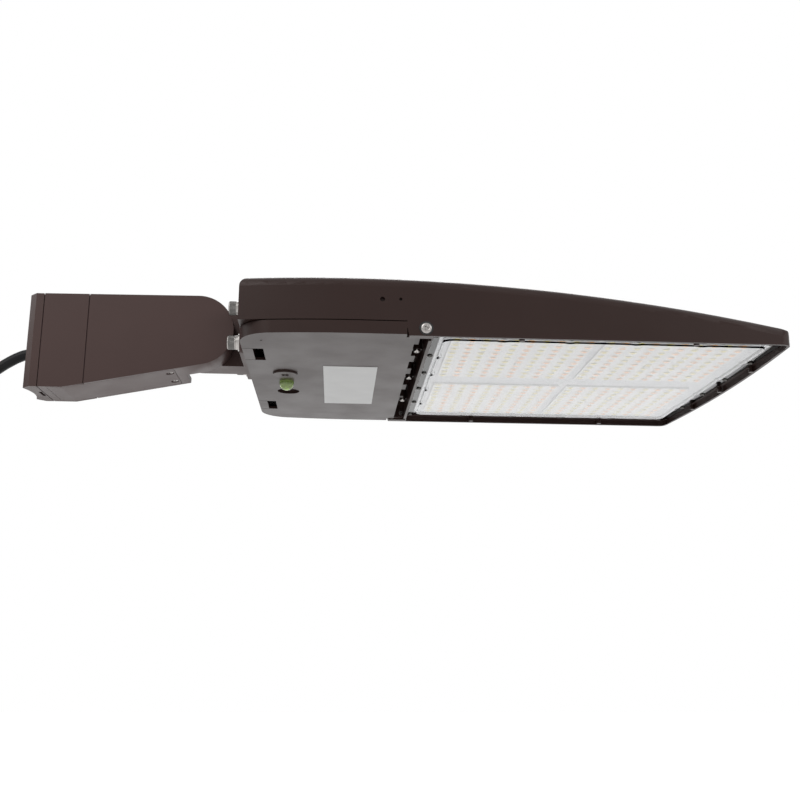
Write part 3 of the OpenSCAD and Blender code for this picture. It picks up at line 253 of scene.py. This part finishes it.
def plastic(name, colour, roughness, grain=0.00002, specular=0.5, grain_scale=1500):
    material, tree, shader, place = principled(name)
    cloud = noise(tree, place, 40, 3)
    tree.links.new(mixed(tree, spread(tree, cloud, 0, 1), shade(colour, 0.95), shade(colour, 1.05)),
                   shader.inputs["Base Color"])
    tree.links.new(spread(tree, cloud, roughness - 0.03, roughness + 0.04), shader.inputs["Roughness"])
    shader.inputs["Specular IOR Level"].default_value = specular
    bump(tree, shader, noise(tree, place, grain_scale, 2), grain)
    return material


def bare_metal(name, colour, roughness):
    """Turned or pressed metal with fine marks and stains in its gloss."""
    material, tree, shader, place = principled(name)
    stain = noise(tree, place, 60, 4)
    tree.links.new(mixed(tree, spread(tree, stain, 0, 1), shade(colour, 0.82), colour),
                   shader.inputs["Base Color"])
    marks = noise(tree, place, 900, 2)
    tree.links.new(spread(tree, marks, roughness - 0.06, roughness + 0.12), shader.inputs["Roughness"])
    shader.inputs["Metallic"].default_value = 1
    bump(tree, shader, marks, 0.00001)
    return material


def clear(name, tint, roughness, ior=1.49, transmission=1):
    """Clear plastic with a slight haze."""
    material, tree, shader, place = principled(name)
    shader.inputs["Base Color"].default_value = (*tint, 1)
    shader.inputs["Transmission Weight"].default_value = transmission
    shader.inputs["IOR"].default_value = ior
    haze = noise(tree, place, 30, 3)
    tree.links.new(spread(tree, haze, roughness, roughness + 0.02), shader.inputs["Roughness"])
    return material


HEAD_BRONZE = (0.027, 0.0145, 0.0125)
ARM_BRONZE = (0.060, 0.036, 0.033)

head_paint = powder_coat("head_paint", HEAD_BRONZE, 0.34, 0.21)
arm_paint = powder_coat("arm_paint", ARM_BRONZE, 0.42, 0.25)
stainless = bare_metal("stainless", (0.40, 0.38, 0.365), 0.26)
# the same steel as stainless, much darker: painted shade for the knurl's grooves
shaded_knurl_steel = bare_metal("stainless_knurl_painted_shade", (0.13, 0.125, 0.12), 0.34)
dark_steel = bare_metal("dark_screws", (0.10, 0.095, 0.09), 0.38)
driver_steel = plastic("driver_case", (0.62, 0.63, 0.64), 0.38)
surge_red = plastic("surge_case", (0.42, 0.03, 0.02), 0.35)
terminal_cream = plastic("terminal_plastic", (0.62, 0.58, 0.48), 0.42)
lead_sleeve = plastic("lead_sleeve", (0.02, 0.02, 0.02), 0.5, 0.0001, 0.4, 500)
reflector_white = plastic("reflector_white", (0.40, 0.395, 0.41), 0.45, 0.00002, 0.3)
rubber = plastic("black_rubber", (0.018, 0.018, 0.018), 0.6, 0.00004, 0.35)
door_rubber = plastic("door_seal", (0.20, 0.18, 0.17), 0.65)
lens_rubber = plastic("lens_seal", (0.55, 0.55, 0.56), 0.5)
label_white = plastic("label_white", (0.60, 0.60, 0.595), 0.46, 0.000005, 0.3)
tie_nylon = plastic("tie_nylon", (0.015, 0.015, 0.015), 0.38)
lens_clear = clear("lens_clear", (0.97, 0.98, 0.98), 0.02, 1.28)
dome_green = clear("level_glass", (0.50, 0.68, 0.22), 0.03, transmission=0.6)
jacket = plastic("cord_jacket", (0.009, 0.009, 0.010), 0.40, 0.00005, 0.16, 900)


def board_white():
    """White solder mask, faintly cloudy."""
    material, tree, shader, place = principled("led_board")
    cloud = noise(tree, place, 120, 3)
    tree.links.new(mixed(tree, spread(tree, cloud, 0, 1), (0.43, 0.415, 0.425), (0.47, 0.455, 0.455)),
                   shader.inputs["Base Color"])
    tree.links.new(spread(tree, cloud, 0.3, 0.4), shader.inputs["Roughness"])
    bump(tree, shader, noise(tree, place, 400, 2), 0.00001)
    return material


led_board = board_white()

NODE_MATERIALS = {
    head_paint: ["housing", "driver_door", "captive_screw"],
    arm_paint: ["tilt_neck", "pole_plate", "arm_base", "arm_body", "arm_cover"],
    stainless: ["hinge_screws", "board_screws", "gap_screws", "flange_bolts", "spring_washers",
                "flat_washers", "screw_clip", "tilt_bolt", "tilt_washer", "cover_screws"],
    dark_steel: ["driver_screws", "lens_screws", "level_clip", "arm_screws"],
    driver_steel: ["driver"],
    surge_red: ["surge_protector"],
    terminal_cream: ["terminal_block"],
    lead_sleeve: ["driver_leads", "head_leads", "arm_leads"],
    reflector_white: ["reflector_sheet"],
    led_board: ["led_board_1", "led_board_2", "led_board_3", "led_board_4"],
    lens_clear: ["lens"],
    lens_rubber: ["lens_gasket"],
    rubber: ["head_bushing", "flange_gasket", "cord_grommet"],
    door_rubber: ["door_gasket"],
    dome_green: ["bubble_level"],
    label_white: ["label_plate"],
    jacket: ["cord_lead", "cord_coil", "cord_conductors"],
    tie_nylon: ["cord_tie"],
}


def dress_nodes():
    for material, names in NODE_MATERIALS.items():
        for name in names:
            mesh = nodes[name].data
            mesh.materials.clear()
            mesh.materials.append(material)


dress_nodes()

# ---------------------------------------------------------------- soft edges

# Width of the rounding, in mm, on the arm's castings and the captive screw
SOFT_EDGES = {
    "captive_screw": 0.35,
    "tilt_neck": 0.6, "pole_plate": 0.7, "arm_base": 0.6, "arm_body": 0.7, "arm_cover": 0.4,
}


def soften(name, width):
    """Rounds a node's hard edges with modifiers; the mesh under them is left as it came."""
    obj = nodes[name]
    weld = obj.modifiers.new("weld", "WELD")
    weld.merge_threshold = 1e-6
    flat = obj.modifiers.new("flat", "DECIMATE")
    flat.decimate_type = "DISSOLVE"
    flat.angle_limit = math.radians(0.2)
    bevel = obj.modifiers.new("edges", "BEVEL")
    bevel.width = width
    bevel.segments = 2
    bevel.limit_method = "ANGLE"
    bevel.angle_limit = math.radians(32)
    bevel.use_clamp_overlap = True
    bevel.harden_normals = True


for node_name, edge in SOFT_EDGES.items():
    soften(node_name, edge * MM)

# ---------------------------------------------------------------- cord

CORD_D = 10 * MM
CORD_ROUTE = [(-1, 0, -7), (-10, 0, -7), (-17, 0, -9.5), (-25, 0, -14), (-34, -0.5, -20.5), (-42, -3, -29),
              (-49, -7.5, -39), (-55, -14, -51), (-60, -22, -63), (-63.5, -31, -76), (-65.8, -40, -89),
              (-66.8, -48, -101), (-67, -53, -112), (-67, -55, -120), (-67, -55, -125)]
COIL_R = 55
COIL_TURNS = 2
COIL_PITCH = 10.8
COIL_X = -67
COIL_Z = -135
COIL_RINGS = 24
CONDUCTOR_L = 40
CONDUCTOR_R = 1.5
CONDUCTOR_RING = 2.2   # from the cord's middle to each conductor's
STRIPPED_L = 9         # bare copper on the first conductor, and 1 mm more on each after it
STRAND_R = 0.85


def coil_point(t):
    """Point of the coil, t turns in from where the lead joins it."""
    a = 2 * math.pi * t
    return Vector((COIL_X - COIL_PITCH * t, -COIL_R * math.cos(a), COIL_Z - COIL_R * math.sin(a)))


def cord_points():
    points = [Vector(p) for p in CORD_ROUTE]
    points += [coil_point(i / COIL_RINGS) for i in range(COIL_TURNS * COIL_RINGS + 1)]
    points.append(coil_point(COIL_TURNS) - Vector((0, 0, CORD_D / MM)))
    return [p * MM for p in points]


def smooth_curve(name, points, radius, material):
    """One open smooth spline through the points, as a round tube."""
    curve = bpy.data.curves.new(name, "CURVE")
    curve.dimensions = "3D"
    curve.bevel_depth = radius
    curve.bevel_resolution = 6
    curve.resolution_u = 6
    curve.use_fill_caps = True
    spline = curve.splines.new("BEZIER")
    spline.bezier_points.add(len(points) - 1)
    for point, place in zip(spline.bezier_points, points):
        point.co = place
        point.handle_left_type = "AUTO"
        point.handle_right_type = "AUTO"
    curve.materials.append(material)
    return link(bpy.data.objects.new(name, curve))


def make_conductors():
    """Three insulated conductors with stripped copper ends, out of the cord's bare end."""
    copper = bare_metal("copper", (0.62, 0.30, 0.16), 0.3)
    colours = {
        "black_conductor": (0.02, 0.02, 0.02),
        "white_conductor": (0.72, 0.71, 0.68),
        "green_conductor": (0.03, 0.22, 0.06),
    }
    end = coil_point(COIL_TURNS) - Vector((0, 0, CORD_D / MM))
    pieces = []
    for i, (name, colour) in enumerate(colours.items()):
        sleeve = plastic(name, colour, 0.35)
        a = 2 * math.pi * i / 3
        top = end + Vector((CONDUCTOR_RING * math.cos(a), CONDUCTOR_RING * math.sin(a), 0))
        bm = bmesh.new()
        strip = CONDUCTOR_L - STRIPPED_L - i
        rings = [(CONDUCTOR_R, -2), (CONDUCTOR_R, strip - 0.3), (CONDUCTOR_R - 0.3, strip)]
        turned(bm, [(r * MM, h * MM) for r, h in rings], top * MM, (0, 0, -1), 20)
        strand = [(STRAND_R, strip - 1), (STRAND_R, CONDUCTOR_L - 0.3), (STRAND_R - 0.25, CONDUCTOR_L)]
        turned(bm, [(r * MM, h * MM) for r, h in strand], top * MM, (0, 0, -1), 14, 1)
        pieces.append(mesh_piece(name, bm, [sleeve, copper], "arm",
                                 ["cord_conductors"]))
    return pieces


def make_cord():
    points = cord_points()
    cord = smooth_curve("supply_cord", points, CORD_D / 2, jacket)
    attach(cord, "arm")
    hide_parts("cord_lead", "cord_coil")
    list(make_conductors())


make_cord()

# ---------------------------------------------------------------- fasteners


BOLT_HEAD_H = 8 * MM
BOLT_SHANK_R = 4 * MM
BOLT_STEPS = 192
KNURL_DEPTH = 0.32 * MM
KNURL_TEETH = 32
CAPS = 2             # faces that turned() makes before its bands
KNURL_BANDS = 7, 9   # bands 7 and 8, the knurl and the slope after it; band 7 joins rings 7 and 8

PIVOT_HEAD_H = 1.8 * MM
PIVOT_SHANK_R = 2.45 * MM


def cap_bolt(bm, head_face, axis, head_r, head_h, shank_r, length):
    """Socket head cap screw with a knurled head; the axis points from its head to its tip."""
    flat = 0.46 * head_r
    deep = 0.55 * head_h
    teeth = knurl(head_r, KNURL_DEPTH, KNURL_TEETH)
    rings = [
        (0.1 * flat, deep + 0.5 * MM), (hexagon(flat), deep), (hexagon(flat), 0.4 * MM),
        (flat * 1.25, 0), (head_r - 1.1 * MM, 0), (head_r - 0.45 * MM, 0.25 * MM),
        (head_r - 0.1 * MM, 0.8 * MM), (teeth, 1.1 * MM),
        (teeth, head_h - 1.3 * MM), (head_r - 0.1 * MM, head_h - 1.0 * MM),
        (head_r - 0.1 * MM, head_h - 0.3 * MM), (head_r - 0.4 * MM, head_h),
        (shank_r, head_h), (shank_r, length - 0.8 * MM), (shank_r - 0.7 * MM, length),
    ]
    faces = turned(bm, rings, head_face, axis, BOLT_STEPS)
    first, last = (CAPS + band * BOLT_STEPS for band in KNURL_BANDS)
    # the knurl band takes the darker steel, which is painted shade in its grooves
    for face in faces[first:last]:
        face.material_index = 1


def pan_screw(bm, seat, axis, head_r, head_h, shank_r, shank_l, turn=0.4):
    """Domed cross-recess screw; the seat is under its head and the axis points from head to tip."""
    arm = cross_recess(0.17 * head_r, 0.56 * head_r)
    small = cross_recess(0.10 * head_r, 0.30 * head_r)
    rings = [
        (small, -0.35 * head_h), (arm, -0.97 * head_h), (0.62 * head_r, -head_h),
        (0.8 * head_r, -0.88 * head_h), (0.93 * head_r, -0.66 * head_h), (head_r, -0.35 * head_h),
        (head_r, 0), (shank_r, 0), (shank_r, shank_l),
    ]
    turned(bm, rings, seat, axis, 96, 0, turn)


def make_flange_bolts():
    bm = bmesh.new()
    for low, high in solids("flange_bolts"):
        head_r = (high.y - low.y) / 2
        face = Vector((low.x, (low.y + high.y) / 2, (low.z + high.z) / 2))
        cap_bolt(bm, face, (1, 0, 0), head_r, BOLT_HEAD_H, BOLT_SHANK_R, high.x - low.x)
    mesh_piece("cap_bolts", bm, [stainless, shaded_knurl_steel], "head", ["flange_bolts"])


def screws_along_z(name, piece, head_h, shank_r, body, material):
    """Cross-recess screws that point up, from the solids of a CAD node."""
    bm = bmesh.new()
    for i, (low, high) in enumerate(solids(name)):
        head_r = (high.x - low.x) / 2
        seat = Vector(((low.x + high.x) / 2, (low.y + high.y) / 2, low.z + head_h))
        shank = max(high.z - seat.z, 0.3 * MM)
        pan_screw(bm, seat, (0, 0, 1), head_r, head_h, shank_r, shank, 0.4 + 0.9 * i)
    mesh_piece(piece, bm, [material], body, [name])


def make_hinge_screws():
    """The door's two pivot screws, each with a thin black ring under its head that paints the shade round
    the head.
    """
    screws = bmesh.new()
    shade_rings = bmesh.new()
    shade_ring = [(2.6, 0.02), (5.6, 0.02), (5.8, 0.2), (5.6, 0.45), (2.6, 0.45)]
    for low, high in solids("hinge_screws"):
        side = 1 if low.y > 0 else -1
        head_r = (high.x - low.x) / 2
        outer = high.y if side > 0 else low.y
        seat = Vector(((low.x + high.x) / 2, outer - side * PIVOT_HEAD_H, (low.z + high.z) / 2))
        shank = high.y - low.y - PIVOT_HEAD_H
        pan_screw(screws, seat, (0, -side, 0), head_r, PIVOT_HEAD_H, PIVOT_SHANK_R, shank)
        # thin black ring under the head: painted shade in the gap round the screw head
        turned(shade_rings, [(r * MM, h * MM) for r, h in shade_ring], seat, (0, side, 0))
    mesh_piece("pivot_screws", screws, [stainless], "head", ["hinge_screws"])
    mesh_piece("pivot_shade_rings", shade_rings, [rubber], "head")


make_flange_bolts()
make_hinge_screws()
screws_along_z("gap_screws", "channel_screws", 2.4 * MM, 1.8 * MM, "head", stainless)
screws_along_z("board_screws", "board_pan_screws", 1.5 * MM, 2 * MM, "head", stainless)
screws_along_z("lens_screws", "lens_edge_screws", 1.3 * MM, 1.5 * MM, "head", dark_steel)
screws_along_z("cover_screws", "cover_pan_screws", 2.2 * MM, 2 * MM, "arm", stainless)

# ---------------------------------------------------------------- light engine

BOARDS = 4
CHIP_PITCH = 12.7 * MM
CHIPS_A_SIDE = 10


def chip_places(name):
    """Column number and centre of each chip on one board, from the CAD board."""
    low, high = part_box(name)
    centre = (low + high) / 2
    middle = (CHIPS_A_SIDE - 1) / 2
    for u in range(CHIPS_A_SIDE):
        x = centre.x + (u - middle) * CHIP_PITCH
        for v in range(CHIPS_A_SIDE):
            yield u, Vector((x, centre.y + (v - middle) * CHIP_PITCH, low.z))


def paler(colour):
    return tuple(0.18 + 0.62 * c for c in colour)


def make_chips():
    """Phosphor windows on the chips, each in a paler disc: columns take turns in two whites."""
    kinds = {
        "cool_phosphor": (0.60, 0.50, 0.15),
        "warm_phosphor": (0.72, 0.36, 0.14),
    }
    window = [(2.4, 0.02), (2.35, -0.12), (1.9, -0.3), (1.0, -0.42), (0.1, -0.45)]
    disc = [(3.9, 0.62), (3.8, 0.54), (2.2, 0.5)]
    for parity, (name, colour) in enumerate(kinds.items()):
        material = plastic(name, colour, 0.22)
        rim = plastic(f"{name}_rim", paler(colour), 0.3)
        bm = bmesh.new()
        for board in range(1, BOARDS + 1):
            for column, place in chip_places(f"led_board_{board}"):
                if column % 2 == parity:
                    turned(bm, [(r * MM, -h * MM) for r, h in window], place, (0, 0, -1), 16)
                    turned(bm, [(r * MM, -h * MM) for r, h in disc], place, (0, 0, -1), 20, 1)
        mesh_piece(name, bm, [material, rim], "head")


make_chips()

# ---------------------------------------------------------------- level


def make_bubble():
    """Air bubble inside the level's dome."""
    low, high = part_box("bubble_level")
    centre = Vector(((low.x + high.x) / 2, (low.y + high.y) / 2, low.z))
    pale = plastic("level_bubble", (0.74, 0.86, 0.42), 0.2)
    bm = bmesh.new()
    rings = [(0.3, 1.02), (1.5, 1.2), (2.4, 1.7), (2.6, 2.3), (2.2, 3.0), (0.4, 3.2)]
    turned(bm, [(r * MM, h * MM) for r, h in rings], centre, (0, 0, 1), 32)
    mesh_piece("air_bubble", bm, [pale], "door")


make_bubble()

# ---------------------------------------------------------------- inside the driver bay

LABEL_T = 0.2 * MM
TERMINAL_POLES = 5
TERMINAL_PITCH = 12
TERMINAL_ROWS = 7, 17   # each row's place along X, from the block's low end


def box_faces(bm, low, high):
    corners = [bm.verts.new((x, y, z)) for x in (low[0], high[0]) for y in (low[1], high[1])
               for z in (low[2], high[2])]
    for a, b, c, d in ((0, 1, 3, 2), (4, 6, 7, 5), (0, 4, 5, 1), (2, 3, 7, 6), (0, 2, 6, 4), (1, 5, 7, 3)):
        bm.faces.new([corners[i] for i in (a, b, c, d)])


def blank_label(bm, name, margin_x, margin_y, z):
    """Adds a label that stops short of a node's sides; z is its lower face, above the node's."""
    low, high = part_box(name)
    box_faces(bm, (low.x + margin_x * MM, low.y + margin_y * MM, low.z + z * MM),
              (high.x - margin_x * MM, high.y - margin_y * MM, low.z + z * MM + LABEL_T))


def make_bay_details():
    """Blank labels and clamping screws on the parts in the driver bay."""
    bm = bmesh.new()
    blank_label(bm, "driver", 9, 60, -0.15)
    blank_label(bm, "surge_protector", 9, 9, 0.65)
    mesh_piece("bay_labels", bm, [label_white], "head")
    low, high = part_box("terminal_block")
    screw = [(0.05, 1.0), (1.0, 0.95), (1.15, 0), (2.2, 0), (2.4, 0.3), (2.4, 4.0)]
    bm = bmesh.new()
    for i in range(TERMINAL_POLES):
        for x in TERMINAL_ROWS:
            face = Vector((low.x + x * MM, low.y + (i + 0.5) * TERMINAL_PITCH * MM, low.z + 2.2 * MM))
            turned(bm, [(r * MM, h * MM) for r, h in screw], face, (0, 0, 1), 24)
    mesh_piece("clamp_screws", bm, [stainless], "head")


make_bay_details()

# ---------------------------------------------------------------- stage

FLOOR_Z = -2.5   # far below, so that it doesn't hide the part from a low camera


def light_path_strength(tree, camera, glossy, transmission, rest):
    """Strength for camera, glossy and transmission rays, and for the rest of them."""
    path = tree.nodes.new("ShaderNodeLightPath")
    total = None
    for kind, strength in (("Camera", camera), ("Glossy", glossy), ("Transmission", transmission)):
        value = spread(tree, path.outputs[f"Is {kind} Ray"], rest, strength, 0, 1)
        if total is not None:
            node = tree.nodes.new("ShaderNodeMath")
            node.operation = "MAXIMUM"
            tree.links.new(total, node.inputs[0])
            tree.links.new(value, node.inputs[1])
            value = node.outputs[0]
        total = value
    return total


def make_world():
    world = bpy.data.worlds.new("studio")
    bpy.context.scene.world = world
    world.use_nodes = True
    tree = world.node_tree
    background = tree.nodes["Background"]
    background.inputs["Color"].default_value = (1, 1, 1, 1)
    strength = light_path_strength(tree, camera=1, glossy=0.95, transmission=0.55, rest=0.42)
    tree.links.new(strength, background.inputs["Strength"])


def make_floor():
    material, tree, shader, place = principled("floor")
    shader.inputs["Base Color"].default_value = (0.8, 0.8, 0.8, 1)
    shader.inputs["Roughness"].default_value = 0.9
    shader.inputs["Emission Color"].default_value = (1, 1, 1, 1)
    strength = light_path_strength(tree, camera=1, glossy=0.90, transmission=0.62, rest=0.22)
    tree.links.new(strength, shader.inputs["Emission Strength"])
    bm = bmesh.new()
    bmesh.ops.create_grid(bm, x_segments=1, y_segments=1, size=30)
    mesh = bpy.data.meshes.new("floor")
    bm.to_mesh(mesh)
    bm.free()
    mesh.materials.append(material)
    floor = link(bpy.data.objects.new("floor", mesh))
    floor.location = (0.25, 0, FLOOR_Z)


def soft_light(name, place, target, size, power):
    data = bpy.data.lights.new(name, "AREA")
    data.shape = "DISK"
    data.size = size
    data.energy = power
    light = link(bpy.data.objects.new(name, data))
    light.location = place
    light.rotation_euler = (Vector(target) - Vector(place)).to_track_quat("-Z", "Y").to_euler()


make_world()
make_floor()
soft_light("key", (-0.9, -1.6, 1.6), (0.3, 0, 0), 1.6, 22)
soft_light("fill", (1.8, -1.2, 0.9), (0.3, 0, 0), 1.4, 9)
soft_light("rim", (0.6, 1.8, 1.4), (0.3, 0, 0), 1.6, 20)

bpy.context.scene.view_settings.view_transform = "Standard"
